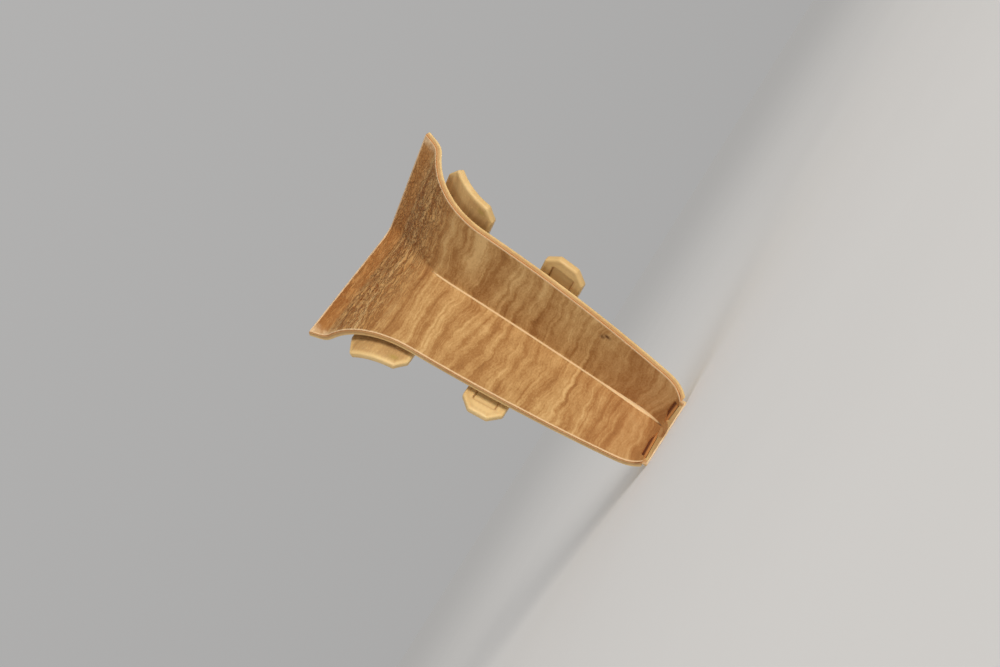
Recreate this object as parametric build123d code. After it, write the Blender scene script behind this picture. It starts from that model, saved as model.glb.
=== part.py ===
"""Inside-corner fitting for a hollow plastic skirting board 59 mm high and 20 mm deep.

Two wings run along the two walls of a room corner and meet in a mitre. Each wing is a thin
shell with the skirting's own section: a lip against the wall, a rounded shoulder, a sloping
face and a coved toe on the floor. Behind each free side edge two tongues stand out, which
push in behind the skirting's front wall. A printed decor film covers the face of each wing.

Everything is modelled for the left wing in a wall frame, and then turned into the row frame:
    wall frame  X along the wall from the room corner, Y out from the wall, Z up from the floor
    row frame   origin where both walls meet the floor, room corner along +Z, room towards -Y
The right-hand pieces are mirror images.
"""

import os

from build123d import *

# Driving sizes, in millimetres and degrees
HEIGHT = 59.0          # floor to the top of the wall lip
WING_LENGTH = 28.25    # room corner to the free side edge, along the wall
DEPTH = 20.35          # wall to the toe
WALL = 1.0             # shell thickness, film included
FILM = 0.2             # thickness of the printed film
SOLE = 0.6             # thickness of the floor plate
TURN = -135            # wall frame to row frame, for the left wing

# Front of the section, as (distance from the wall, height above the floor)
LIP_TOP = (0.95, HEIGHT)
LIP_ROOT = (2.25, 56.0)
SHOULDER_MID = (9.6, 50.55)
FACE_TOP = (12.75, 42.2)
FACE_MID = (14.25, 24.5)
FACE_FOOT = (17.55, 4.4)
TOE_TIP = (DEPTH, 0.9)

# Tongues: plates that follow the section, a slot's width behind the shell. Their upper and
# lower ends are cut square to the face, at distances along it from the lip's top.
SLOT = 1.5             # room for the skirting's front wall
TONGUE = 1.1           # thickness
TONGUE_REACH = 2.8     # beyond the wing's free edge
TONGUE_INSIDE = 5.5    # from the free edge back to the tongue's root
UPPER_ENDS = (7.4, 22.6)
LOWER_ENDS = (32.75, 40.2)
CORNER = 2.0           # cut corners
SLOPE_START = -1.15    # where the upper tongue's top edge starts to slope, from the free edge
SLOPE_DROP = 2.8       # and how far it drops to the tip
ROUNDING = 0.7         # softens the outline's corners
BEVEL = 0.3            # round the front rim
PRISM = 30             # longer than any tongue

# The lower tongues have a shallow pocket next to the wing's edge
POCKET_DEPTH = 0.35
POCKET_START = -2.6
POCKET_END = 0.75
POCKET_INSET = 1.6

# The block behind the wing that carries a tongue
ROOT_WIDTH = 1.2
ROOT_INSET = 0.8       # from the tongue's ends
ROOT_CLEARANCE = 0.05  # to the tongue, which flexes away from it

# Floor plate under the toe
SOLE_TOE = 20.55       # wall to its front edge, which stands just behind the film's face
SOLE_OVERHANG = 0.2    # beyond the wing's free edge
SOLE_EAR = 0.6         # length of the plate's short side edges
SOLE_WAIST = (24.2, 17.4)
SOLE_TAIL = 14.9       # how far from both walls the plate starts

# Bare plastic that the film leaves along its edges and in the mitre
FILM_EDGE = 0.1
FILM_FOOT = 1.0        # height of its lower edge
SEAM_TOP = 51.0        # above this the two films meet
SEAM = 0.2             # half-width of the bare line
SEAM_WIDE = 0.5        # half-width where it is widest, near the foot
SEAM_WIDE_AT = 10.0
SEAM_END = 3.6


def front_line():
    """The front of the section from the lip's top to the toe."""
    lip = Line(LIP_TOP, LIP_ROOT)
    shoulder = ThreePointArc(LIP_ROOT, SHOULDER_MID, FACE_TOP)
    face = ThreePointArc(FACE_TOP, FACE_MID, FACE_FOOT)
    toe = TangentArc(FACE_FOOT, TOE_TIP, tangent=face % 1)
    return Wire([lip.edge(), shoulder.edge(), face.edge(), toe.edge()])


def band(distance):
    """The section from its front back to a parallel line, distance behind it."""
    ring = offset(front_line(), distance, kind=Kind.ARC, side=Side.RIGHT, closed=True)
    return make_face(ring.edges())


def strip(near, far, start, end):
    """A curved plate that follows the section, from near to far behind its front, and runs
    from start to end along the wall."""
    section = band(far)
    if near > 0:
        section -= band(near)
    return extrude(Plane.YZ.offset(start) * section, end - start)


def slab(low, high, start=-10.0, end=60.0):
    """Everything between two heights and between two places along the wall."""
    block = Box(end - start, 80, high - low, align=(Align.MIN, Align.CENTER, Align.MIN))
    return Pos(start, 0, low) * block


def beyond_mitre(seam=False):
    """What lies beyond the mitre plane, and with a seam the width of the bare line too."""
    far = -60
    points = [(far, -5), (far, HEIGHT + 5), (0, HEIGHT + 5)]
    if seam:
        points += [
            (0, SEAM_TOP),
            (SEAM, SEAM_TOP - 5),
            (SEAM, SEAM_WIDE_AT + 8),
            (SEAM_WIDE, SEAM_WIDE_AT),
            (SEAM, SEAM_END + 1.5),
            (0, SEAM_END),
        ]
    points.append((0, -5))
    across = Plane(origin=(0, 0, 0), x_dir=(1, -1, 0), z_dir=(-1, -1, 0))
    outline = make_face(Polyline(*points, close=True).edges())
    return extrude(across * outline, 80, both=True)


def wing():
    return strip(FILM, WALL, 0, WING_LENGTH) - beyond_mitre() - slab(-5, SOLE)


def decor_film():
    sheet = strip(0, FILM, 0, WING_LENGTH - FILM_EDGE) - beyond_mitre(seam=True)
    return sheet & slab(FILM_FOOT, HEIGHT - FILM_EDGE)


def face_prism(reach, outline):
    """An outline drawn on the face at a distance along it from the lip's top, and extruded
    square to it. In the outline X runs along the wall and Y up the face."""
    spot = front_line().position_at(reach, PositionMode.LENGTH)
    down = front_line().tangent_at(reach, PositionMode.LENGTH)
    plane = Plane(origin=(0, spot.X, spot.Y), x_dir=(1, 0, 0), z_dir=(0, down.Y, -down.X))
    return extrude(plane * make_face(outline.edges()), PRISM, both=True)


def beyond_cut(reach, far):
    """Everything above or below one cut square to the face."""
    start, end = -PRISM, 2 * PRISM
    outline = Polyline((start, 0), (end, 0), (end, far), (start, far), close=True)
    return face_prism(reach, outline)


def between(upper, lower):
    """Everything between two cuts square to the face."""
    return beyond_cut(upper, -PRISM) & beyond_cut(lower, PRISM)


def tongue_end(reach, *corners):
    """Everything on the tongue's side of one of its ends, whose corners are rounded."""
    closing = Polyline(corners[-1], (corners[0][0], corners[-1][1]), corners[0])
    return face_prism(reach, FilletPolyline(*corners, radius=ROUNDING) + closing)


def tongue(ends, pocket):
    """A plate between two distances along the face. The lower one has the pocket and two cut
    corners, and the upper one has a sloping top edge instead of the upper cut."""
    root = WING_LENGTH - TONGUE_INSIDE
    tip = WING_LENGTH + TONGUE_REACH
    front = WALL + SLOT
    top = [(tip - CORNER, 0), (tip, -CORNER)]
    if not pocket:
        top = [(WING_LENGTH + SLOPE_START, 0), (tip, -SLOPE_DROP)]
    section = Plane.YZ * front_line()

    def in_front(edge):
        spots = [Vertex(0, p.Y, p.Z) for p in (edge @ 0.3, edge @ 0.7)]
        return all(abs(section.distance_to(spot) - front) < 0.01 for spot in spots)

    upper = tongue_end(ends[0], (root, 0), *top, (tip, -PRISM))
    lower = tongue_end(ends[1], (root, 0), (tip - CORNER, 0), (tip, CORNER), (tip, PRISM))
    plate = strip(front, front + TONGUE, root, tip) & upper & lower
    rim = [edge for edge in plate.edges() if edge.center().X > root + 0.1 and in_front(edge)]
    plate = chamfer(rim, BEVEL)
    if pocket:
        hollow = strip(
            front, front + POCKET_DEPTH, WING_LENGTH + POCKET_START, WING_LENGTH + POCKET_END
        )
        plate -= hollow & between(ends[0] + POCKET_INSET, ends[1] - POCKET_INSET)
    return plate


def tongue_root(ends):
    start = WING_LENGTH - TONGUE_INSIDE
    block = strip(WALL, WALL + SLOT - ROOT_CLEARANCE, start, start + ROOT_WIDTH)
    return block & between(ends[0] + ROOT_INSET, ends[1] - ROOT_INSET)


def sole_plate():
    side = WING_LENGTH + SOLE_OVERHANG
    ear = SOLE_TOE - SOLE_EAR
    half = [(side, SOLE_TOE), (side, ear), SOLE_WAIST, (SOLE_TAIL, SOLE_TAIL)]
    other = [(y, x) for x, y in reversed(half[:-1])]
    return extrude(make_face(Polyline(*half, *other, close=True).edges()), SOLE)


def save(shape, name):
    export_step(shape, f"parts/{name}.step")


def main():
    os.makedirs("parts", exist_ok=True)
    to_row = Rot(0, 0, TURN)
    pieces = {
        "{side}_wing": wing(),
        "{side}_decor_film": decor_film(),
        "upper_{side}_tongue": tongue(UPPER_ENDS, pocket=False),
        "lower_{side}_tongue": tongue(LOWER_ENDS, pocket=True),
        "upper_{side}_tongue_root": tongue_root(UPPER_ENDS),
        "lower_{side}_tongue_root": tongue_root(LOWER_ENDS),
    }
    for name, shape in pieces.items():
        left = to_row * shape
        save(left, name.format(side="left"))
        save(mirror(left, about=Plane.YZ), name.format(side="right"))
    save(to_row * sole_plate(), "sole_plate")


main()
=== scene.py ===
"""Looks of the inside-corner fitting: a cream plastic moulding with a wood film on its face.

Lengths are in millimetres in a wing's wall frame (x along the wall from the room corner, y out
from the wall, z up), and become metres in the row frame in to_row. The left and the right wing
are mirror images. Along the section, s is the distance from the lip's top and depth is how far a
point lies behind the face.
"""

import math

import bmesh
import bpy
import numpy as np
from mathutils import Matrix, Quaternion, Vector, noise
from mathutils.geometry import delaunay_2d_cdt


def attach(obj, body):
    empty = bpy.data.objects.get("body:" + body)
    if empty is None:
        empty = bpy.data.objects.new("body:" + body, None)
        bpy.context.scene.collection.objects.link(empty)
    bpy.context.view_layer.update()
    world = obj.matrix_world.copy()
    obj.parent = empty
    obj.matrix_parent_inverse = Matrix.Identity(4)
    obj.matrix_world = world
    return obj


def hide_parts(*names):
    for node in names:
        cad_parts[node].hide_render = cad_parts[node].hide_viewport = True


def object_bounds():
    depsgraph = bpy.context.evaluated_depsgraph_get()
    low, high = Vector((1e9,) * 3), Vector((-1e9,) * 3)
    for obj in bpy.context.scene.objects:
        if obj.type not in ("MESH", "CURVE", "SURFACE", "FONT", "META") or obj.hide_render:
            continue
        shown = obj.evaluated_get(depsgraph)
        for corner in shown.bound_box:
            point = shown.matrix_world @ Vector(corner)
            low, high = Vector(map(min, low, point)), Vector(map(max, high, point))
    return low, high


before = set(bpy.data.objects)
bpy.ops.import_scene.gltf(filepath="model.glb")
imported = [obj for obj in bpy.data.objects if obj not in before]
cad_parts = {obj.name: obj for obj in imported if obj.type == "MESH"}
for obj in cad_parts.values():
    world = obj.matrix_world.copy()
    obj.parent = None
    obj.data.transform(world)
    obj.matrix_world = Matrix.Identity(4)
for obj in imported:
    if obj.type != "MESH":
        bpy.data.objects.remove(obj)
CAD_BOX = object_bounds()

MM = 0.001
COS_45 = math.sqrt(0.5)        # both walls stand 45 degrees from the row frame's axes
SIDES = ("left", "right")

# The section's line, as (distance from the wall, height), from the lip's top to the toe
LIP_TOP = (0.95, 59.0)
LIP_ROOT = (2.25, 56.0)
SHOULDER_MID = (9.6, 50.55)
FACE_TOP = (12.75, 42.2)
FACE_MID = (14.25, 24.5)
FACE_FOOT = (17.55, 4.4)
TOE_TIP = (20.35, 0.9)
LINE_STEP = 0.05       # fineness of the line
LINE_SOFTEN = 0.8      # how far the bends between its stretches are rounded

FILM = 0.2             # thickness of the printed film
WALL = 1.0             # thickness of the shell, film included
SOLE = 0.6             # thickness of the floor plate


# ---------------------------------------------------------------- places in the frame


def to_row(points, side):
    """Wall frame in millimetres to row frame in metres."""
    x, y, z = np.moveaxis(np.asarray(points, float), -1, 0)
    across = COS_45 * (y - x)
    if side == "right":
        across = -across
    return np.stack([across, -COS_45 * (x + y), z], -1) * MM


def wall_box(node):
    """Lowest and highest corner of a left-hand CAD node in the wall frame."""
    co = np.array([v.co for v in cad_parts[node].data.vertices]) / MM
    wall = np.stack([-COS_45 * (co[:, 0] + co[:, 1]), COS_45 * (co[:, 0] - co[:, 1]), co[:, 2]], 1)
    return wall.min(0), wall.max(0)


SIDE_EDGE = wall_box("left_wing")[1][0]        # the wing's free side edge, along the wall


# ---------------------------------------------------------------- the section


def circle_points(centre, start, end):
    """Points of the shorter arc round centre, from start to end."""
    centre, start, end = (np.array(p, float) for p in (centre, start, end))
    first, last = start - centre, end - centre
    radius = np.hypot(*first)
    begin = math.atan2(first[1], first[0])
    turn = math.atan2(last[1], last[0]) - begin
    turn = (turn + math.pi) % (2 * math.pi) - math.pi
    angles = begin + turn * np.linspace(0, 1, max(3, int(abs(turn) * radius / LINE_STEP)))
    return centre + radius * np.stack([np.cos(angles), np.sin(angles)], 1)


def arc_through(start, middle, end):
    (ax, ay), (bx, by), (cx, cy) = start, middle, end
    twice = 2 * (ax * (by - cy) + bx * (cy - ay) + cx * (ay - by))
    a, b, c = ax * ax + ay * ay, bx * bx + by * by, cx * cx + cy * cy
    centre = (
        (a * (by - cy) + b * (cy - ay) + c * (ay - by)) / twice,
        (a * (cx - bx) + b * (ax - cx) + c * (bx - ax)) / twice,
    )
    return circle_points(centre, start, end)


def arc_from(start, direction, end):
    """The arc that leaves start in a direction and reaches end."""
    chord = np.subtract(end, start)
    normal = np.array([-direction[1], direction[0]])
    radius = chord @ chord / (2 * chord @ normal)
    return circle_points(start + radius * normal, start, end)


def section():
    """The face's line, its unit normals towards the wall, and the distance along it."""
    lip = np.linspace(LIP_TOP, LIP_ROOT, 60)
    shoulder = arc_through(LIP_ROOT, SHOULDER_MID, FACE_TOP)
    face = arc_through(FACE_TOP, FACE_MID, FACE_FOOT)
    leaving = face[-1] - face[-2]
    toe = arc_from(FACE_FOOT, leaving / np.hypot(*leaving), TOE_TIP)
    line = np.concatenate([lip, shoulder[1:], face[1:], toe[1:]])
    length = np.concatenate([[0], np.cumsum(np.hypot(*np.diff(line, axis=0).T))])
    even = np.linspace(0, length[-1], int(length[-1] / LINE_STEP))
    line = np.stack([np.interp(even, length, line[:, k]) for k in (0, 1)], 1)

    reach = int(4 * LINE_SOFTEN / LINE_STEP)
    weights = np.exp(-0.5 * (np.arange(-reach, reach + 1) * LINE_STEP / LINE_SOFTEN) ** 2)
    weights /= weights.sum()
    before = line[0] + (line[0] - line[1 : reach + 1])[::-1]
    after = line[-1] + (line[-1] - line[-reach - 1 : -1])[::-1]
    padded = np.concatenate([before, line, after])
    line = np.stack([np.convolve(padded[:, k], weights, "valid") for k in (0, 1)], 1)

    along = np.gradient(line, axis=0)
    along /= np.hypot(*along.T)[:, None]
    behind = np.stack([along[:, 1], -along[:, 0]], 1)
    return line, behind, even


LINE, BEHIND, LENGTH = section()


def on_section(s, depth):
    """(y, z) at distances s along the line and depth behind it."""
    at = [np.interp(s, LENGTH, LINE[:, k]) for k in (0, 1)]
    to = [np.interp(s, LENGTH, BEHIND[:, k]) for k in (0, 1)]
    return at[0] + to[0] * depth, at[1] + to[1] * depth


def s_at(z, depth):
    """Distance along the line where its parallel at that depth has height z."""
    heights = LINE[:, 1] + BEHIND[:, 1] * depth
    return np.interp(-np.asarray(z, float), -heights, LENGTH)


LIP_S = s_at(LIP_ROOT[1], 0)


# ---------------------------------------------------------------- meshes


RIM_STEPS = 4          # in a plate's round front rim
BACK_RIM_STEPS = 3     # and in the one at its back
BEVEL_STEPS = 2        # in the shell's rims
SPRINKLE_ROWS = 0.87   # distance between rows of points inside an outline, in spacings
SPRINKLE_CLEAR = 0.4   # and how far the points keep from its edges
POCKET_LOOPS = (0, 0.15, 0.35)     # insets of the lines round a pocket's top, wall and floor


def piece(name, verts, faces, material, body, replaced, values, sharp=35):
    """A shaded object in the row frame that rides on a body and stands for CAD nodes.
    values are its point attributes."""
    mesh = bpy.data.meshes.new(name)
    mesh.from_pydata(np.asarray(verts).tolist(), [], faces)
    for key, data in values.items():
        data = np.asarray(data, np.float32)
        kind = "FLOAT_VECTOR" if data.ndim == 2 else "FLOAT"
        field = "vector" if data.ndim == 2 else "value"
        mesh.attributes.new(key, kind, "POINT").data.foreach_set(field, data.ravel())
    work = bmesh.new()
    work.from_mesh(mesh)
    bmesh.ops.recalc_face_normals(work, faces=work.faces)
    for face in work.faces:
        face.smooth = True
    for edge in work.edges:
        edge.smooth = len(edge.link_faces) == 2 and edge.calc_face_angle() < math.radians(sharp)
    work.to_mesh(mesh)
    work.free()
    obj = bpy.data.objects.new(name, mesh)
    bpy.context.scene.collection.objects.link(obj)
    mesh.materials.append(material)
    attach(obj, body)
    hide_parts(*replaced)
    return obj


def round_rims(obj, width):
    """Rounds the sharp edges, but not those in the mitre plane, where the wings are one."""
    mesh = obj.data
    weights = mesh.attributes.new("bevel_weight_edge", "FLOAT", "EDGE")
    work = bmesh.new()
    work.from_mesh(mesh)
    for k, edge in enumerate(work.edges):
        in_mitre = all(abs(vert.co.x) < 0.01 * MM for vert in edge.verts)
        weights.data[k].value = 1.0 if not edge.smooth and not in_mitre else 0.0
    work.free()
    bevel = obj.modifiers.new("rounded rims", "BEVEL")
    bevel.width = width * MM
    bevel.segments = BEVEL_STEPS
    bevel.limit_method = "WEIGHT"
    bevel.harden_normals = True


def closed_grid(front, back):
    """Vertices and faces of the closed plate between two grids of points."""
    rows, columns = front.shape[:2]
    count = rows * columns
    faces = []
    for i in range(rows - 1):
        for j in range(columns - 1):
            a = i * columns + j
            ring = (a, a + columns, a + columns + 1, a + 1)
            faces.append(ring)
            faces.append(tuple(p + count for p in reversed(ring)))
            at_border = (j == 0, i == rows - 2, j == columns - 2, i == 0)
            for k in range(4):
                if at_border[k]:
                    p, q = ring[k], ring[(k + 1) % 4]
                    faces.append((q, p, p + count, q + count))
    return np.concatenate([front.reshape(-1, 3), back.reshape(-1, 3)]), faces


def in_front_half(verts):
    """Which vertices of a closed grid are its front's."""
    return np.arange(len(verts)) < len(verts) // 2


def rounded_outline(corners, radius, inset, steps=6, run=0.5):
    """A convex outline with round corners, moved inwards by inset. Its straight runs have points
    too, so that it can follow a curved surface."""
    corners = np.array(corners, float)
    arcs = []
    for k, here in enumerate(corners):
        to_last = corners[k - 1] - here
        to_next = corners[(k + 1) % len(corners)] - here
        a, b = to_last / np.hypot(*to_last), to_next / np.hypot(*to_next)
        half = math.acos(np.clip(a @ b, -1, 1)) / 2
        middle = (a + b) / np.hypot(*(a + b))
        centre = here + middle * radius / math.sin(half)
        first = here + a * radius / math.tan(half) - centre
        last = here + b * radius / math.tan(half) - centre
        out = first + (last - first) * np.linspace(0, 1, steps)[:, None]
        arcs.append(centre + out / np.hypot(*out.T)[:, None] * (radius - inset))
    ring = []
    for k, arc in enumerate(arcs):
        after = (k + 1) % len(arcs)
        count = max(1, int(np.hypot(*(corners[after] - corners[k])) / run))
        shares = np.arange(1, count)[:, None] / count
        ring += [arc, arc[-1] + (arcs[after][0] - arc[-1]) * shares]
    return np.concatenate(ring)


def fill(loops, spacing):
    """Triangles inside the first loop, with the other loops as edges and an even sprinkle of
    points between them. Returns the points and the triangles."""
    points = [Vector(p) for loop in loops for p in loop]
    edges, first = [], 0
    for loop in loops:
        edges += [(first + k, first + (k + 1) % len(loop)) for k in range(len(loop))]
        first += len(loop)
    low, high = loops[0].min(0), loops[0].max(0)
    clear = spacing * SPRINKLE_CLEAR
    for row, v in enumerate(np.arange(low[1] + clear, high[1], spacing * SPRINKLE_ROWS)):
        for u in np.arange(low[0] + clear + row % 2 * spacing / 2, high[0], spacing):
            spot = np.array([u, v])
            if inside(spot, loops[0]) and all(gap(spot, loop) > clear for loop in loops):
                points.append(Vector(spot))
    verts, _, faces, _, _, _ = delaunay_2d_cdt(points, edges, [], 1, 1e-6)
    return np.array([tuple(v) for v in verts]), [tuple(f) for f in faces]


def inside(spot, loop):
    """Whether a spot lies inside a convex loop."""
    ahead = np.roll(loop, -1, 0) - loop
    to = spot - loop
    cross = ahead[:, 0] * to[:, 1] - ahead[:, 1] * to[:, 0]
    return bool((cross > 0).all() or (cross < 0).all())


def gap(spot, loop):
    """Distance from a spot to a loop."""
    ahead = np.roll(loop, -1, 0) - loop
    to = spot - loop
    share = np.clip((to * ahead).sum(1) / (ahead * ahead).sum(1), 0, 1)
    return np.hypot(*(to - ahead * share[:, None]).T).min()


def rim_rings(front, back, round_front, round_back):
    """(inset, depth) of the outline's copies round a plate's edge, from its front to its back."""
    rings = []
    for k in range(RIM_STEPS, -1, -1):
        angle = math.pi / 2 * k / RIM_STEPS
        out, down = 1 - math.cos(angle), 1 - math.sin(angle)
        rings.append((round_front * out, front + round_front * down))
    for k in range(BACK_RIM_STEPS + 1):
        angle = math.pi / 2 * k / BACK_RIM_STEPS
        out, down = 1 - math.cos(angle), 1 - math.sin(angle)
        rings.append((round_back * out, back - round_back * down))
    return rings


def rounded_plate(corners, radius, front, back, round_front, round_back, spacing, pocket=None):
    """A plate with a convex outline, round corners and round rims, as (u, v, depth) points with
    their distance in from the outline, and faces. pocket is (corners, radius, depth)."""
    points, insets, faces = [], [], []
    rings = rim_rings(front, back, round_front, round_back)
    for inset, depth in rings:
        loop = rounded_outline(corners, radius, inset)
        points += [(u, v, depth) for u, v in loop]
        insets += [inset] * len(loop)
    size = len(loop)
    for k in range(len(rings) - 1):
        for j in range(size):
            a, b = k * size + j, k * size + (j + 1) % size
            faces.append((a, b, b + size, a + size))

    def cap(loops, depth, depth_inside, flip):
        flat, triangles = fill(loops, spacing)
        first = len(points)
        for spot in flat:
            sunk = len(loops) > 1 and (inside(spot, loops[2]) or gap(spot, loops[2]) < 1e-4)
            points.append((*spot, depth_inside if sunk else depth))
            insets.append(gap(spot, loops[0]) + round_front)
        faces.extend(tuple(first + p for p in (reversed(t) if flip else t)) for t in triangles)

    face_loops = [rounded_outline(corners, radius, round_front)]
    floor = front
    if pocket:
        pocket_corners, pocket_radius, pocket_depth = pocket
        for inset in POCKET_LOOPS:
            face_loops.append(rounded_outline(pocket_corners, pocket_radius, inset))
        floor = front + pocket_depth
    cap(face_loops, front, floor, False)
    cap([rounded_outline(corners, radius, round_back)], back, back, True)
    return np.array(points), np.array(insets), faces


def weld(obj, distance=1e-7):
    """Joins vertices that lie in one place."""
    work = bmesh.new()
    work.from_mesh(obj.data)
    bmesh.ops.remove_doubles(work, verts=work.verts, dist=distance)
    bmesh.ops.recalc_face_normals(work, faces=work.faces)
    work.to_mesh(obj.data)
    work.free()


# ---------------------------------------------------------------- materials


def tint(red, green, blue):
    """An sRGB colour, 0 to 255, as linear RGBA."""
    values = [c / 255 for c in (red, green, blue)]
    linear = [c / 12.92 if c <= 0.04045 else ((c + 0.055) / 1.055) ** 2.4 for c in values]
    return (*linear, 1.0)


class Recipe:
    """A node material, built by short calls that return output sockets."""

    def __init__(self, name, roughness, specular):
        self.material = bpy.data.materials.new(name)
        self.material.use_nodes = True
        self.tree = self.material.node_tree
        self.shader = self.tree.nodes["Principled BSDF"]
        self.shader.inputs["Roughness"].default_value = roughness
        self.shader.inputs["Specular IOR Level"].default_value = specular
        self.bumped = None

    def put(self, value, socket):
        if isinstance(value, bpy.types.NodeSocket):
            self.tree.links.new(value, socket)
        else:
            socket.default_value = value

    def set(self, name, value):
        self.put(value, self.shader.inputs[name])

    def node(self, kind, output, inputs, **settings):
        made = self.tree.nodes.new(kind)
        for key, value in settings.items():
            setattr(made, key, value)
        for key, value in inputs.items():
            self.put(value, made.inputs[key])
        return made.outputs[output]

    def object_place(self):
        """The place on the object, in millimetres."""
        place = self.node("ShaderNodeTexCoord", "Object", {})
        return self.stretch(place, (1 / MM, 1 / MM, 1 / MM))

    def attribute(self, name, output="Fac"):
        return self.node("ShaderNodeAttribute", output, {}, attribute_name=name)

    def stretch(self, vector, scale, shift=(0, 0, 0)):
        inputs = {"Vector": vector, "Scale": scale, "Location": shift}
        return self.node("ShaderNodeMapping", 0, inputs)

    def noise(self, vector, scale=1.0, detail=3.0, roughness=0.5, distortion=0.0):
        inputs = {
            "Vector": vector,
            "Scale": scale,
            "Detail": detail,
            "Roughness": roughness,
            "Distortion": distortion,
        }
        return self.node("ShaderNodeTexNoise", "Fac", inputs)

    def streaks(self, vector, scale, shift=(0, 0, 0), detail=3.0, roughness=0.5, distortion=0.0):
        """Noise with its own scale along each axis."""
        return self.noise(self.stretch(vector, scale, shift), 1.0, detail, roughness, distortion)

    def math(self, operation, *values, clamp=False):
        made = self.tree.nodes.new("ShaderNodeMath")
        made.operation = operation
        made.use_clamp = clamp
        for socket, value in zip(made.inputs, values):
            self.put(value, socket)
        return made.outputs[0]

    def range(self, value, low, high, to_low=0.0, to_high=1.0):
        """A smooth step from to_low at low to to_high at high."""
        inputs = {
            "Value": value,
            "From Min": low,
            "From Max": high,
            "To Min": to_low,
            "To Max": to_high,
        }
        return self.node("ShaderNodeMapRange", 0, inputs, interpolation_type="SMOOTHSTEP")

    def ramp(self, value, stops):
        made = self.tree.nodes.new("ShaderNodeValToRGB")
        elements = made.color_ramp.elements
        for k, (position, colour) in enumerate(stops):
            element = elements[k] if k < 2 else elements.new(position)
            element.position = position
            element.color = colour
        self.put(value, made.inputs[0])
        return made.outputs[0]

    def mix(self, factor, first, second):
        """The mix of two colours."""
        made = self.tree.nodes.new("ShaderNodeMix")
        made.data_type = "RGBA"
        for k, value in ((0, factor), (6, first), (7, second)):
            self.put(value, made.inputs[k])
        return made.outputs[2]

    def split(self, vector):
        made = self.tree.nodes.new("ShaderNodeSeparateXYZ")
        self.put(vector, made.inputs[0])
        return made.outputs

    def bump(self, height, distance, strength):
        """A bump, its distance in millimetres, on top of the ones made before it."""
        inputs = {"Height": height, "Distance": distance * MM, "Strength": strength}
        if self.bumped is not None:
            inputs["Normal"] = self.bumped
        self.bumped = self.node("ShaderNodeBump", 0, inputs)
        self.set("Normal", self.bumped)


def waved_place(recipe, flat):
    """The place on the face, with its s bent by waves that all the print's lines share."""
    waves = (
        (recipe.streaks(flat, (0.030, 0.060, 1), detail=1.0), 7.0),
        (recipe.streaks(flat, (0.15, 0.060, 1), (7, 3, 0), 1.0), 2.6),
        (recipe.streaks(flat, (0.42, 0.22, 1), (1, 5, 0), 2.0), 1.3),
        (recipe.streaks(flat, (1.7, 1.1, 1), (2, 4, 0), 2.0), 0.35),
    )
    x, s, z = recipe.split(flat)
    for wave, weight in waves:
        s = recipe.math("MULTIPLY_ADD", wave, weight, s)
    return recipe.node("ShaderNodeCombineXYZ", 0, {"X": x, "Y": s, "Z": z}), s


def growth_lines(recipe, flat, s):
    """The growth lines, each with a light side and a dark side, and their strength."""
    phase = recipe.math("FRACT", recipe.math("MULTIPLY", s, 0.19))
    strength = recipe.streaks(flat, (0.07, 0.16, 1), (3, 9, 0), 2.0)
    strength = recipe.range(strength, 0.40, 0.62, 0.15, 1.0)
    dark = recipe.range(phase, 0.10, 0.55, 1.0, 0.0)
    dark = recipe.math("MULTIPLY", dark, recipe.range(phase, 0.0, 0.07))
    light = recipe.range(phase, 0.84, 0.93)
    light = recipe.math("MULTIPLY", light, recipe.range(phase, 0.94, 1.0, 1.0, 0.0))
    dark = recipe.math("MULTIPLY", dark, -0.050)
    return recipe.math("MULTIPLY_ADD", light, 0.050, dark), strength


PRINT_STOPS = (
    (0.36, tint(132, 88, 49)),
    (0.45, tint(162, 117, 69)),
    (0.515, tint(185, 144, 92)),
    (0.60, tint(210, 173, 119)),
)
PORE = tint(128, 82, 46)
RED_PRINT = tint(164, 106, 62)     # near the foot
LIP_PRINT = tint(168, 102, 44)
KNOT_PRINT = tint(66, 26, 16)
# painted shade in the film's creases
CREASE_SHADE = tint(137, 77, 27)
# painted shade in the hollows and painted highlight on the ridges of the film's crinkling
HOLLOW_SHADE = tint(118, 60, 20)
RIDGE_HIGHLIGHT = tint(206, 158, 96)
RUBBED = tint(226, 194, 152)
CUT_SIDE = tint(186, 122, 70)


def wood_print(recipe, flat):
    """The printed grain's colour and tone. It runs along the wall: growth lines at uneven
    distances, soft bands, finer lines, blotches, mottle and dark pores."""
    waved, s = waved_place(recipe, flat)
    parts = (
        (recipe.streaks(waved, (0.012, 0.22, 1), (1, 2, 0), 2.0), 0.26),
        (recipe.streaks(waved, (0.035, 0.95, 1), (5, 1, 0), 3.0, 0.55), 0.24),
        (recipe.streaks(waved, (0.12, 2.4, 1), (2, 6, 0), 3.0, 0.6), 0.16),
        (recipe.streaks(flat, (0.35, 0.5, 1), (8, 2, 0), 3.0, 0.6), 0.16),
        (recipe.streaks(flat, (2.2, 3.0, 1), detail=4.0, roughness=0.7), 0.18),
        growth_lines(recipe, flat, s),
    )
    tone = 0.0
    for part, weight in parts:
        tone = recipe.math("MULTIPLY_ADD", part, weight, tone)
    pores = recipe.streaks(waved, (1.4, 6.0, 1), detail=2.0)
    pores = recipe.math("MULTIPLY", recipe.range(pores, 0.62, 0.74), 0.22)
    return recipe.mix(pores, recipe.ramp(tone, PRINT_STOPS), PORE), tone


def film_tints(recipe, flat, colour):
    """The print is redder and deeper towards the foot and along the lip, and painted shade darkens
    its creases.
    """
    _, s, _ = recipe.split(flat)
    colour = recipe.mix(recipe.range(s, 44.0, 60.0, 0.0, 0.30), colour, RED_PRINT)
    lip = recipe.range(s, LIP_S - 0.9, LIP_S + 0.5, 0.42, 0.0)
    colour = recipe.mix(lip, colour, LIP_PRINT)
    painted_crease_shade = recipe.math("MULTIPLY", recipe.attribute("painted_crease_shade"), 0.75, clamp=True)
    return recipe.mix(painted_crease_shade, colour, CREASE_SHADE)


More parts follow.
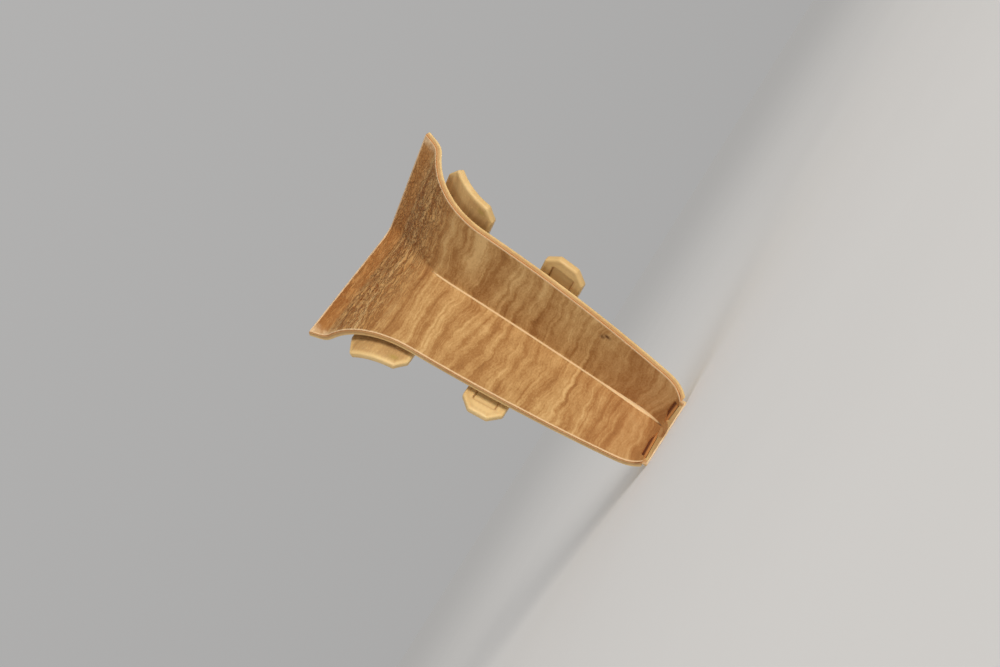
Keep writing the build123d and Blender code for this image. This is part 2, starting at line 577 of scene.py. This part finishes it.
def painted_crinkle_shading(recipe, colour, veins, fine, creased):
    """Painted shade in hollows along the veins of a creased film, and painted highlights on the
    ridges between them.
    """
    painted_hollow_shade = recipe.math("MULTIPLY", recipe.range(veins, 0.0, 0.07, 0.80, 0.0), creased)
    painted_hollow_shade = recipe.math("MULTIPLY", painted_hollow_shade, recipe.range(fine, 0.36, 0.60, 0.25, 1.0))
    colour = recipe.mix(painted_hollow_shade, colour, HOLLOW_SHADE)
    painted_ridge_highlight = recipe.math("MULTIPLY", recipe.range(veins, 0.05, 0.14, 0.0, 0.42), creased)
    painted_ridge_highlight = recipe.math("MULTIPLY", painted_ridge_highlight, recipe.range(fine, 0.40, 0.60))
    return recipe.mix(painted_ridge_highlight, colour, RIDGE_HIGHLIGHT)


def rubbed_rim(recipe, flat, colour):
    """The rubbed rim and tip are pale, and the film's cut side is a warm brown."""
    rub = recipe.streaks(flat, (1.2, 1.2, 1), detail=4.0, roughness=0.7)
    tip = recipe.math("MULTIPLY", recipe.attribute("tip"), recipe.range(rub, 0.30, 0.62, 0.35, 0.9))
    rim = recipe.math("ADD", recipe.attribute("rim"), recipe.math("MULTIPLY", rub, 0.25))
    pale = recipe.math("MAXIMUM", tip, recipe.range(rim, 0.30, 0.46, 0.85, 0.0))
    colour = recipe.mix(pale, colour, RUBBED)
    side = recipe.range(recipe.attribute("printed"), 0.45, 0.9, 1.0, 0.0)
    return recipe.mix(side, colour, CUT_SIDE)


def film_material():
    recipe = Recipe("wood_film", 0.62, 0.08)
    flat = recipe.attribute("flat", "Vector")
    colour, tone = wood_print(recipe, flat)
    colour = film_tints(recipe, flat, colour)
    veins = recipe.streaks(flat, (0.30, 1.15, 1), (6, 2, 0), 3.0, 0.62, 0.4)
    veins = recipe.math("ABSOLUTE", recipe.math("SUBTRACT", veins, 0.5))
    fine = recipe.streaks(flat, (1.1, 2.6, 1), (3, 1, 0), 3.0, 0.6, 0.4)
    creased = recipe.attribute("creased")
    # painted shade and highlights of the film's crinkling
    colour = painted_crinkle_shading(recipe, colour, veins, fine, creased)
    colour = recipe.mix(recipe.attribute("knot"), colour, KNOT_PRINT)
    recipe.set("Base Color", rubbed_rim(recipe, flat, colour))

    gloss = recipe.streaks(flat, (1.4, 1.4, 1), detail=4.0, roughness=0.6)
    recipe.set("Roughness", recipe.range(gloss, 0.3, 0.7, 0.52, 0.70))
    recipe.bump(tone, 0.2, 0.5)
    recipe.bump(recipe.math("MULTIPLY", recipe.range(veins, 0.0, 0.10), creased), 0.2, 0.8)
    recipe.bump(recipe.math("MULTIPLY", fine, creased), 0.2, 0.8)
    grit = recipe.streaks(flat, (2.4, 4.2, 1), detail=4.0, roughness=0.65)
    recipe.bump(grit, 0.08, 0.5)
    return recipe.material


CREAM_DEEP = tint(209, 173, 115)
CREAM_PALE = tint(221, 189, 132)
FLECK = tint(200, 156, 100)
# a tan of the moulding's own, and painted shade on the end faces
FRONT_TAN_AND_SHADE = tint(160, 108, 62)
TOE_PLASTIC = tint(190, 128, 72)
TOE_SHADOW = tint(96, 50, 26)
PALE_BEAD = tint(224, 190, 142)
# painted shade in hollows and on the bare lip before the toe
SHADE_TINT = tint(150, 92, 42)
OLIVE_STAIN = tint(160, 138, 62)
# painted highlight along an edge
ARRIS_HIGHLIGHT = tint(218, 190, 154)
GLOW_REACH = (0.0012, 0.0007, 0.0004)      # of red, green and blue light in it, in metres


def plastic_colour(recipe, place):
    """Cloudy cream with darker flecks."""
    cloud = recipe.range(recipe.noise(place, 0.12, 3.0, 0.5), 0.35, 0.65)
    colour = recipe.mix(cloud, CREAM_DEEP, CREAM_PALE)
    fleck = recipe.range(recipe.noise(place, 1.5, 4.0, 0.7), 0.52, 0.74, 0.0, 0.4)
    return recipe.mix(fleck, colour, FLECK)


def plastic_finish(recipe, place):
    """Worn gloss, a little light under the surface, flow marks and a fine grain."""
    wear = recipe.noise(place, 1.1, 4.0, 0.6)
    recipe.set("Roughness", recipe.range(wear, 0.3, 0.7, 0.36, 0.55))
    recipe.shader.inputs["Subsurface Weight"].default_value = 0.08
    recipe.shader.inputs["Subsurface Radius"].default_value = GLOW_REACH
    flow = recipe.streaks(place, (0.5, 0.5, 2.2), detail=3.0, roughness=0.6)
    recipe.bump(flow, 0.08, 0.4)
    recipe.bump(recipe.noise(place, 6.0, 3.0, 0.6), 0.03, 0.4)


def plastic_material():
    """The bare moulding. Towards its front it is darker, partly a tan of its own and partly painted
    shade on the side edges' end faces; at the toe it is bare orange plastic with a painted shadow
    under the film's edge, and the bead along the mitre stays pale."""
    recipe = Recipe("cream_plastic", 0.45, 0.35)
    place = recipe.object_place()
    colour = plastic_colour(recipe, place)
    ahead = recipe.attribute("ahead")
    # darker towards the front: partly its own tan, partly painted shade on the side edges' end
    # faces
    front_tan_and_shade = recipe.math("MULTIPLY_ADD", recipe.noise(place, 0.9, 3.0, 0.6), 0.5, ahead)
    front_tan_and_shade = recipe.range(front_tan_and_shade, 0.42, 0.92, 0.0, 0.6)
    colour = recipe.mix(front_tan_and_shade, colour, FRONT_TAN_AND_SHADE)
    across, _, height = recipe.split(place)
    toe = recipe.range(height, 1.6, 1.9, 1.0, 0.0)
    toe = recipe.math("MULTIPLY", toe, recipe.range(ahead, 0.9, 1.0))
    colour = recipe.mix(toe, colour, TOE_PLASTIC)
    # painted shadow under the film's edge at the toe
    shadow = recipe.math("MULTIPLY", toe, recipe.range(height, 0.95, 1.2))
    colour = recipe.mix(shadow, colour, TOE_SHADOW)
    bead = recipe.range(recipe.math("ABSOLUTE", across), 0.7, 1.1, 1.0, 0.0)
    bead = recipe.math("MULTIPLY", bead, recipe.range(height, 1.0, 4.5, 0.5, 1.0))
    bead = recipe.math("MULTIPLY", bead, ahead)
    recipe.set("Base Color", recipe.mix(bead, colour, PALE_BEAD))
    plastic_finish(recipe, place)
    return recipe.material


def worn_print(recipe, colour, share, redder):
    """The wood print over a colour, where the attribute says, and worn through in places."""
    flat = recipe.attribute("flat", "Vector")
    wood, _ = wood_print(recipe, flat)
    wood = recipe.mix(redder, wood, RED_PRINT)
    worn = recipe.streaks(flat, (1.3, 1.3, 1), detail=4.0, roughness=0.65)
    worn = recipe.range(worn, 0.30, 0.44, 0.35, 1.0)
    mask = recipe.math("MULTIPLY", recipe.attribute("printed"), worn)
    return recipe.mix(recipe.math("MULTIPLY", mask, share), colour, wood)


def printed_plastic(name, share, redder=0.0):
    """Bare plastic with a share of the wood print. Painted shade lies in its hollows and on the
    bare lip before the toe, a painted highlight along the plate's front edge, and one small spot
    has a stain."""
    recipe = Recipe(name, 0.45, 0.35)
    place = recipe.object_place()
    colour = plastic_colour(recipe, place)
    if share:
        colour = worn_print(recipe, colour, share, redder)
    # painted shade
    painted_shade = recipe.math("MULTIPLY", recipe.attribute("painted_shade"), 0.7)
    colour = recipe.mix(painted_shade, colour, SHADE_TINT)
    stain = recipe.math("MULTIPLY", recipe.attribute("stain"), 0.7)
    colour = recipe.mix(stain, colour, OLIVE_STAIN)
    # painted highlight along the plate's front edge
    recipe.set("Base Color", recipe.mix(recipe.attribute("arris_highlight"), colour, ARRIS_HIGHLIGHT))
    plastic_finish(recipe, place)
    return recipe.material


# ---------------------------------------------------------------- the wings


FILM_EDGE = 0.08       # from the side edge and the lip's top to the film's cut edge
FILM_FOOT = 1.62       # height of the film's lower edge, between its teeth
TOOTH_FOOT = 0.95      # and at the teeth
CENTRE_TOOTH = (20.8, 24.0)    # the edge rises from the tooth at the mitre between these
END_TOOTH = (26.5, 27.3)       # and falls to the one at the side edge between these
SEAM_TOP = 51.0        # above this the two films meet
SEAM = 0.2             # half-width of the bare line in the mitre
SEAM_WIDE = 0.34       # half-width where it is widest, near the foot
SEAM_WIDE_AT = 5.0
SEAM_END = 0.9
MITRE_ROUND = 0.6      # radius of the inside corner along the mitre
DRAWN_ROUND = 2.2      # and where the film bridges it, over the shoulder
DRAWN_TO = (9.0, 19.0) # the film lies down into the corner between these distances
KNOTS = (((26.3, 48.1), (0.38, 0.5)), ((25.6, 47.4), (0.5, 0.28)))     # (x, s) and size

SHELL_RIM = 0.12       # rounding of the shell's rims
SHELL_ROWS = 190       # fineness of the meshes
CREASED_TO = 18.0      # the film's rows are close together down to here
CREASED_ROWS = 0.11    # distance between them there
PLAIN_ROWS = 0.4       # and below
FOOT_BAND = 2.5        # how far up from its lower edge the film's rows follow the teeth
FOOT_ROWS = 12         # and how many do

FOLD_LIFT = 0.10       # how far the film's folds stand off the shell
WRINKLE_LIFT = 0.09    # the wrinkles on them
WAVE_LIFT = 0.018      # and slight waves everywhere
LIP_FOLD = 0.05        # depth of the sharp fold at the lip's root
LIP_FOLD_WIDTH = 0.24

# A row's columns are closer together next to the mitre. The first number is that part's share
# of the row, and the others count the columns there and in the rest.
SHELL_COLUMNS = (0.09, 14, 26)
FILM_COLUMNS = (0.10, 22, 150)


def ripple(x, s, scale_x, scale_s, seed, octaves=3):
    """Fractal noise of about -1 to 1, stretched differently along the wall and the section."""
    spots = zip((x * scale_x).ravel(), (s * scale_s).ravel())
    values = [noise.fractal(Vector((a, b, seed)), 1.0, 2.0, octaves) for a, b in spots]
    return np.array(values).reshape(np.shape(x))


def step(low, high, value):
    """A smooth step from 0 at low to 1 at high."""
    t = np.clip((value - low) / (high - low), 0, 1)
    return t * t * (3 - 2 * t)


def mitre_radius(s):
    """Radius of the inside corner between the wings."""
    return MITRE_ROUND + (DRAWN_ROUND - MITRE_ROUND) * (1 - step(*DRAWN_TO, s))


def from_mitre(y, t, radius):
    """Wall frame (x, y) at a distance t along the wall from the sharp corner, on a surface that
    is rounded there. The rounding meets the mitre plane where t is nearest(radius)."""
    lift = radius - np.sqrt(np.maximum(radius**2 - np.maximum(radius - t, 0) ** 2, 0))
    return y + t, y + lift


def nearest(radius):
    """Where a rounding of the inside corner starts, at the mitre plane."""
    return radius * (1 - COS_45)


def seam_half_width(s):
    """Half-width of the bare line in the mitre, across the corner."""
    _, z = on_section(s, 0)
    low, high = (0, SEAM_END, SEAM_END + 1), (SEAM_WIDE_AT + 8, SEAM_TOP - 5, SEAM_TOP, 60)
    heights = (*low, SEAM_WIDE_AT, *high)
    widths = (0, 0, SEAM, SEAM_WIDE, SEAM, SEAM, 0, 0)
    return np.interp(z, heights, widths)


def film_creases(u, s):
    """How far the film stands off the shell, the painted shade in its creases, and how creased it
    is, at distances u from the mitre. It buckled where it was drawn over the shoulder, in folds
    that run along the wall."""
    reach = np.abs(u)
    zone = (0.6 + 0.4 * step(LIP_S - 0.8, LIP_S + 0.8, s)) * (1 - step(*DRAWN_TO, s))
    zone *= 1 - 0.55 * step(15.0, 26.0, reach)
    drift = ripple(u, s, 0.16, 0.16, 5.0, 2)
    folds = ripple(u, s + 1.6 * drift, 0.45, 1.25, 3.0)
    folds = 1 - 2.2 * np.abs(folds)
    fine = ripple(u, s + 0.8 * drift, 1.2, 2.7, 9.0)
    lift = zone * (FOLD_LIFT * folds + WRINKLE_LIFT * fine)
    lift += WAVE_LIFT * ripple(u, s, 0.22, 0.35, 13.0, 2)
    fold = LIP_S - 0.3 + 0.4 * ripple(u, np.zeros_like(u), 0.25, 1.0, 17.0, 2)
    broken = step(-0.45, 0.25, ripple(u, np.zeros_like(u), 0.35, 1.0, 23.0, 2))
    line = broken * np.exp(-(((s - fold) / LIP_FOLD_WIDTH) ** 2))
    lift -= LIP_FOLD * line
    smudge = step(-0.05, 0.55, ripple(u, s + drift, 0.38, 0.75, 31.0))
    # painted shade: in the folds' valleys, as smudges over the creased zone, along the fold at the
    # lip's root, and evenly over the zone
    dark = zone * (0.22 * step(0.25, -0.7, folds) + 0.30 * smudge)
    dark += 0.25 * line + 0.24 * zone
    return lift, dark, zone


def columns(near, near_count, far_count):
    """Shares of a row from the mitre to the side edge, close together up to near."""
    return np.concatenate([np.linspace(0, near, near_count), np.linspace(near, 1, far_count)[1:]])


def surface_grid(s, shares, depth, radius, start):
    """Wall frame points at distances s and a depth, with columns from the mitre, or from start,
    to the side edge. s and depth may differ from point to point."""
    s = s if s.ndim == 2 else s[:, None] + 0 * shares
    y, z = on_section(s, depth)
    first = np.maximum(nearest(radius), start)[:, None]
    t = first + (SIDE_EDGE - y - first) * shares
    x, y = from_mitre(y, t, radius[:, None])
    return np.stack([x, y, z], -1), t


def wing_shell(side, material):
    """The moulded shell under the film. Along the bare line it swells until it is flush."""
    shares = columns(*SHELL_COLUMNS)
    rows = np.linspace(0, s_at(SOLE, FILM), SHELL_ROWS)
    radius, none = mitre_radius(rows), np.zeros_like(rows)
    seam = (math.sqrt(2) * seam_half_width(rows))[:, None]
    _, t = surface_grid(rows, shares, FILM, radius, none)
    swollen = FILM * step(0.9 * seam, 1.25 * seam + 0.06, t)
    front, _ = surface_grid(rows, shares, np.where(seam > 0, swollen, FILM), radius, none)
    rows = np.linspace(0, s_at(SOLE, WALL), SHELL_ROWS)
    back, _ = surface_grid(rows, shares, WALL, none, none)
    verts, faces = closed_grid(to_row(front, side), to_row(back, side))
    obj = piece(
        f"{side}_wing_moulding", verts, faces, material, "shell", [f"{side}_wing"],
        {"ahead": in_front_half(verts)},
    )
    round_rims(obj, SHELL_RIM)


def film_rows(top, bottom):
    """Distances s of the film's rows, close together where it is creased and at its foot."""
    creased = np.arange(top, CREASED_TO, CREASED_ROWS)
    plain = np.arange(CREASED_TO, bottom - FOOT_BAND - 0.1, PLAIN_ROWS)
    return np.concatenate([creased, plain, np.linspace(bottom - FOOT_BAND, bottom, FOOT_ROWS)])


def film_teeth(rows, shares, bottom):
    """How far the teeth draw each point of the film down from its row."""
    x = SIDE_EDGE - (SIDE_EDGE - TOE_TIP[0]) * (1 - shares)
    tooth = np.maximum(1 - step(*CENTRE_TOOTH, x), step(*END_TOOTH, x))
    near_foot = np.clip((rows - bottom + FOOT_BAND) / FOOT_BAND, 0, 1)[:, None] ** 3
    return near_foot * tooth * (s_at(TOOTH_FOOT, 0) - bottom)


def knots(x, s):
    """A small knot near the right wing's foot, where the print is almost black."""
    dark = np.zeros_like(x)
    for place, size in KNOTS:
        away = ((x - place[0]) / size[0]) ** 2 + ((s - place[1]) / size[1]) ** 2
        dark = np.maximum(dark, np.exp(-away))
    return dark


def wing_film(side, material):
    """The printed film: a thin sheet with creases over the shoulder and a slightly uneven cut."""
    sign, seed = (-1, 3.0) if side == "left" else (1, 41.0)
    top, bottom = s_at(LIP_TOP[1] - FILM_EDGE, 0), s_at(FILM_FOOT, 0)
    rows = film_rows(top, bottom)
    shares = columns(*FILM_COLUMNS)

    def uneven(size, scale, offset):
        return np.abs(size * ripple(np.zeros_like(rows), rows, 1, scale, seed + offset))

    radius = mitre_radius(rows)
    start = math.sqrt(2) * seam_half_width(rows)
    start += uneven(0.04, 0.9, 21) * (start > 0)
    inset = (FILM_EDGE + uneven(0.06, 0.7, 27))[:, None] * shares
    s = rows[:, None] + film_teeth(rows, shares, bottom)
    flat, t = surface_grid(s, shares, 0.0, radius, start)
    x = flat[..., 0]
    u = sign * (t - np.maximum(nearest(radius), start)[:, None])
    to_edge = SIDE_EDGE - x
    # dark is the painted shade in the film's creases
    lift, dark, creased = film_creases(u, s)
    lift = lift * step(0.0, 0.7, to_edge) * step(0.0, 0.5, s - top)
    front, _ = surface_grid(s, shares, -lift, radius, start)
    back, _ = surface_grid(s, shares, FILM, radius, start)
    front[..., 0] -= inset
    back[..., 0] -= inset
    verts, faces = closed_grid(to_row(front, side), to_row(back, side))

    values = {
        "flat": np.stack([u, s, np.ones_like(u)], -1),
        "rim": np.minimum(to_edge, s - top),
        "tip": step(2.6, 0.4, to_edge + 0.25 * s + 0.5 * ripple(u, s, 0.8, 0.8, seed + 33)),
        "painted_crease_shade": dark,
        "creased": creased,
        "knot": knots(x, s) if side == "right" else np.zeros_like(u),
    }
    for key, data in values.items():
        data = data.reshape(-1, *data.shape[2:])
        values[key] = np.concatenate([data, data])
    values["printed"] = in_front_half(verts)
    piece(
        f"{side}_wood_film", verts, faces, material, "shell", [f"{side}_decor_film"],
        values, sharp=60,
    )


# ---------------------------------------------------------------- tongues and floor plate


SLOT = 1.5             # between the shell and a tongue
TONGUE = 1.1           # thickness of a tongue
TONGUE_ENDS = {"upper": (7.4, 22.6), "lower": (32.75, 40.2)}
CORNER = 2.0           # its cut corners
SLOPE_START = -1.15    # where an upper tongue's top edge starts to slope, from the side edge
SLOPE_DROP = 2.8
ROUNDING = 0.7         # round corners of the outline
FRONT_RIM = 0.34       # round rim of the face
BACK_RIM = 0.12
TONGUE_MESH = 0.4      # fineness of its mesh
PRINT_INSET = 0.8      # from the outline to the print on an upper tongue
PRINT_LAYER = {"left": 7.0, "right": 29.0}     # of the print's noise, so that the sides differ
STAIN = (1.5, 2.9)     # from its tip, and up from its lower end
STAIN_SIZE = (0.4, 0.9)
POCKET = (-2.6, 0.75)  # from the side edge
POCKET_INSET = 1.6
POCKET_CORNER = 0.5
POCKET_DEPTH = 0.3


def tongue_outlines(where, root, tip, top, bottom):
    """The corners of a tongue's outline, and of its pocket's if it has one."""
    corners = [(root, bottom), (tip - CORNER, bottom), (tip, bottom + CORNER)]
    if where == "upper":
        corners += [(tip, top - SLOPE_DROP), (SIDE_EDGE + SLOPE_START, top), (root, top)]
        return corners, None
    corners += [(tip, top - CORNER), (tip - CORNER, top), (root, top)]
    start, end = (SIDE_EDGE + share for share in POCKET)
    low, high = bottom + POCKET_INSET, top - POCKET_INSET
    return corners, [(start, low), (end, low), (end, high), (start, high)]


def pocket_shade(x, v, insets, on_face, ahead, pocket):
    """Painted shade along the pocket's wall, and a faint darker line near the tongue's rim."""
    (left, low), _, (right, high), _ = pocket
    past = np.max([left - x, x - right, low - v, v - high], axis=0)
    painted_shade = np.exp(-(((past + 0.12) / 0.14) ** 2)) * (insets > 1.0) * ahead
    return painted_shade + 0.3 * np.exp(-(((insets - 0.75) / 0.15) ** 2)) * on_face


def tongue(where, side, material):
    """A plate that follows the section a slot's width behind the shell. Its outline is drawn
    with x along the wall and v up the face, so that v is -s."""
    low, high = wall_box(f"{where}_left_tongue")
    root, tip = low[0], high[0]
    top, bottom = (-reach for reach in TONGUE_ENDS[where])
    corners, pocket = tongue_outlines(where, root, tip, top, bottom)
    front = WALL + SLOT
    points, insets, faces = rounded_plate(
        corners, ROUNDING, front, front + TONGUE, FRONT_RIM, BACK_RIM, TONGUE_MESH,
        pocket and (pocket, POCKET_CORNER, POCKET_DEPTH),
    )
    x, v, depth = points.T
    y, z = on_section(-v, depth)
    on_face = depth < front + 0.02
    ahead = depth < front + POCKET_DEPTH + 0.05
    stain = painted_shade = np.zeros_like(x)
    if pocket:
        # painted shade in the pocket
        painted_shade = pocket_shade(x, v, insets, on_face, ahead, pocket)
    else:
        spot = (x - tip + STAIN[0]) / STAIN_SIZE[0], (v - bottom - STAIN[1]) / STAIN_SIZE[1]
        stain = np.exp(-(np.hypot(*spot) ** 2)) * ahead
    values = {
        "flat": np.stack([x, -v, np.full_like(x, PRINT_LAYER[side])], 1),
        "printed": on_face * step(PRINT_INSET - 0.35, PRINT_INSET + 0.1, insets),
        "stain": stain,
        "painted_shade": painted_shade,
        "arris_highlight": np.zeros_like(x),
    }
    name = f"{where}_{side}_tongue"
    verts = to_row(np.stack([x, y, z], 1), side)
    obj = piece(
        f"{name}_moulding", verts, faces, material, name, [name], values
    )
    weld(obj)


SOLE_CORNER = 0.25     # round corners of the floor plate
SOLE_RIM = 0.06
SOLE_MESH = 0.22       # fineness of its mesh
TOE_GAP = 0.66         # height of its lip where it meets the bare toe
TOE_LIP = 0.95         # and where the print runs down over it
LIP_NOSE = 0.24        # height of its front edge
CENTRE_PRINT = (0.7, 1.5)      # the print reaches down over the lip between these distances
END_PRINT = 0.9                # from its middle, and this near to its ends
PRINT_SHIFT = 40.0             # of the pattern, so that the plate shows the part near the foot


def sole_corners():
    """The floor plate's corners in order, read from the CAD node, in the row frame."""
    co = np.array([v.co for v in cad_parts["sole_plate"].data.vertices]) / MM
    corners = np.unique(co[:, :2].round(3), axis=0)
    centre = corners.mean(0)
    turn = np.arctan2(corners[:, 1] - centre[1], corners[:, 0] - centre[0])
    return corners[np.argsort(turn)]


def lip_print(across, along, share, half_width):
    """Where the print runs down over the plate's lip: round its middle, and at its ends."""
    middle = CENTRE_PRINT[0] + (CENTRE_PRINT[1] - CENTRE_PRINT[0]) * (1 - share)
    ragged = 0.12 * ripple(across, along, 0.9, 0.9, 51.0)
    past_middle = np.abs(across) + ragged - middle
    past_end = half_width - np.abs(across) + ragged - END_PRINT
    return np.maximum(1 - step(-0.08, 0.08, past_middle), 1 - step(-0.08, 0.08, past_end))


def floor_plate(material):
    """The plate under the foot. In front of the toe a lip runs down from the toe to the plate's
    straight front edge."""
    corners = sole_corners()
    points, insets, faces = rounded_plate(
        corners, SOLE_CORNER, -SOLE, 0.0, SOLE_RIM, SOLE_RIM, SOLE_MESH
    )
    across, along, depth = points.T
    out = COS_45 * (-np.abs(across) - along)
    reach = COS_45 * (-np.abs(across) - corners[:, 1].min())
    share = np.clip((out - TOE_TIP[0]) / np.maximum(reach - TOE_TIP[0], 0.2), 0, 1)
    ahead = step(TOE_TIP[0] - 0.5, TOE_TIP[0] - 0.1, out)
    printed = ahead * lip_print(across, along, share, np.abs(corners[:, 0]).max())
    rise = TOE_GAP + (TOE_LIP - TOE_GAP) * printed
    height = SOLE + ahead * (LIP_NOSE + (rise - LIP_NOSE) * (1 - share) ** 1.6 - SOLE)
    top = depth < -0.5 * SOLE
    points[:, 2] = np.where(top, height * depth / SOLE, depth)
    u = np.sign(across) * COS_45 * (np.abs(across) - along)
    values = {
        "flat": np.stack([u, out + PRINT_SHIFT, np.ones_like(u)], 1),
        "printed": printed * top,
        # painted shade on the bare lip in front of the toe
        "painted_shade": ahead * (1 - printed) * 0.15 * top,
        # painted highlight along the plate's front edge
        "arris_highlight": ahead * (1 - 0.6 * printed) * (insets < 0.1) * 0.9,
        "stain": np.zeros_like(u),
    }
    verts = points * (1, 1, -1) * MM
    obj = piece(
        "sole_plate_moulding", verts, faces, material, "shell", ["sole_plate"],
        values,
    )
    weld(obj)


# ---------------------------------------------------------------- room, light and camera


# Angles in degrees, distances in metres
VIEW_AZIMUTH = 8.34
VIEW_ELEVATION = -3.21
VIEW_ROLL = -58.03
VIEW_DISTANCE = 0.2609
VIEW_AIM = (-0.00242, -0.0200, 0.03127)
LENS = 56.38           # millimetres
SENSOR = 36            # its width in millimetres
CLIP = (0.005, 60)

LAMP_DISTANCE = 1.2
LAMP_SPREAD = 60
FLOOR_REACH = 20.0     # from its middle to its edges
FLOOR_TONES = ((0.85, 0.84, 0.825, 1), (0.88, 0.87, 0.855, 1))
SKY_COLOUR = (1.0, 0.99, 0.98, 1)
SKY_STRENGTH = (0.405, 0.50)       # level with the object, and overhead


def direction(azimuth, elevation):
    """From the object towards a viewer or a lamp."""
    a, e = math.radians(azimuth), math.radians(elevation)
    return Vector((math.sin(a) * math.cos(e), -math.cos(a) * math.cos(e), math.sin(e)))


def camera():
    """Looks up a little at the piece, which lies across the picture."""
    data = bpy.data.cameras.new("camera")
    data.lens = LENS
    data.sensor_width = SENSOR
    data.clip_start, data.clip_end = CLIP
    made = bpy.data.objects.new("camera", data)
    bpy.context.scene.collection.objects.link(made)
    back = direction(VIEW_AZIMUTH, VIEW_ELEVATION)
    made.location = Vector(VIEW_AIM) + back * VIEW_DISTANCE
    level = (-back).to_track_quat("-Z", "Y")
    made.rotation_mode = "QUATERNION"
    made.rotation_quaternion = level @ Quaternion((0, 0, 1), math.radians(VIEW_ROLL))
    bpy.context.scene.camera = made


def lamp(name, azimuth, elevation, size, power, colour=(1, 1, 1)):
    """A square soft box that faces the object. Its beam is narrowed to spare the near floor."""
    data = bpy.data.lights.new(name, "AREA")
    data.size = size
    data.energy = power
    data.color = colour
    data.spread = math.radians(LAMP_SPREAD)
    made = bpy.data.objects.new(name, data)
    bpy.context.scene.collection.objects.link(made)
    centre = (CAD_BOX[0] + CAD_BOX[1]) / 2
    away = direction(azimuth, elevation)
    made.location = centre + away * LAMP_DISTANCE
    made.rotation_mode = "QUATERNION"
    made.rotation_quaternion = away.to_track_quat("Z", "Y")


def floor():
    """A pale, faintly uneven floor."""
    mesh = bpy.data.meshes.new("floor")
    far = FLOOR_REACH
    corners = [(-far, -far, 0), (far, -far, 0), (far, far, 0), (-far, far, 0)]
    mesh.from_pydata(corners, [], [(0, 1, 2, 3)])
    made = bpy.data.objects.new("floor", mesh)
    bpy.context.scene.collection.objects.link(made)
    recipe = Recipe("pale_floor", 0.9, 0.0)
    place = recipe.object_place()
    tone = recipe.noise(place, 0.02, 3.0)
    recipe.set("Base Color", recipe.mix(tone, *FLOOR_TONES))
    mesh.materials.append(recipe.material)


def room():
    """Even, soft light from all round, a little stronger from above."""
    world = bpy.data.worlds.new("studio")
    world.use_nodes = True
    tree = world.node_tree
    place = tree.nodes.new("ShaderNodeTexCoord")
    axes = tree.nodes.new("ShaderNodeSeparateXYZ")
    brighter = tree.nodes.new("ShaderNodeMapRange")
    for name, value in zip(("To Min", "To Max"), SKY_STRENGTH):
        brighter.inputs[name].default_value = value
    background = tree.nodes["Background"]
    background.inputs["Color"].default_value = SKY_COLOUR
    tree.links.new(place.outputs["Generated"], axes.inputs[0])
    tree.links.new(axes.outputs[2], brighter.inputs["Value"])
    tree.links.new(brighter.outputs[0], background.inputs["Strength"])
    bpy.context.scene.world = world
    bpy.context.scene.view_settings.view_transform = "Standard"


def main():
    camera()
    room()
    floor()
    lamp("key", azimuth=34, elevation=12, size=0.38, power=1.2, colour=(1.0, 0.96, 0.90))
    lamp("fill", azimuth=-25, elevation=14, size=0.4, power=0.2)

    plastic = plastic_material()
    film = film_material()
    upper = printed_plastic("printed_tongue", 0.62)
    lower = printed_plastic("bare_tongue", 0.0)
    sole = printed_plastic("printed_sole", 1.0, 0.45)
    for side in SIDES:
        wing_shell(side, plastic)
        wing_film(side, film)
        tongue("upper", side, upper)
        tongue("lower", side, lower)
        for where in ("upper", "lower"):
            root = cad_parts[f"{where}_{side}_tongue_root"]
            root.data.materials.clear()
            root.data.materials.append(plastic)
    floor_plate(sole)


main()
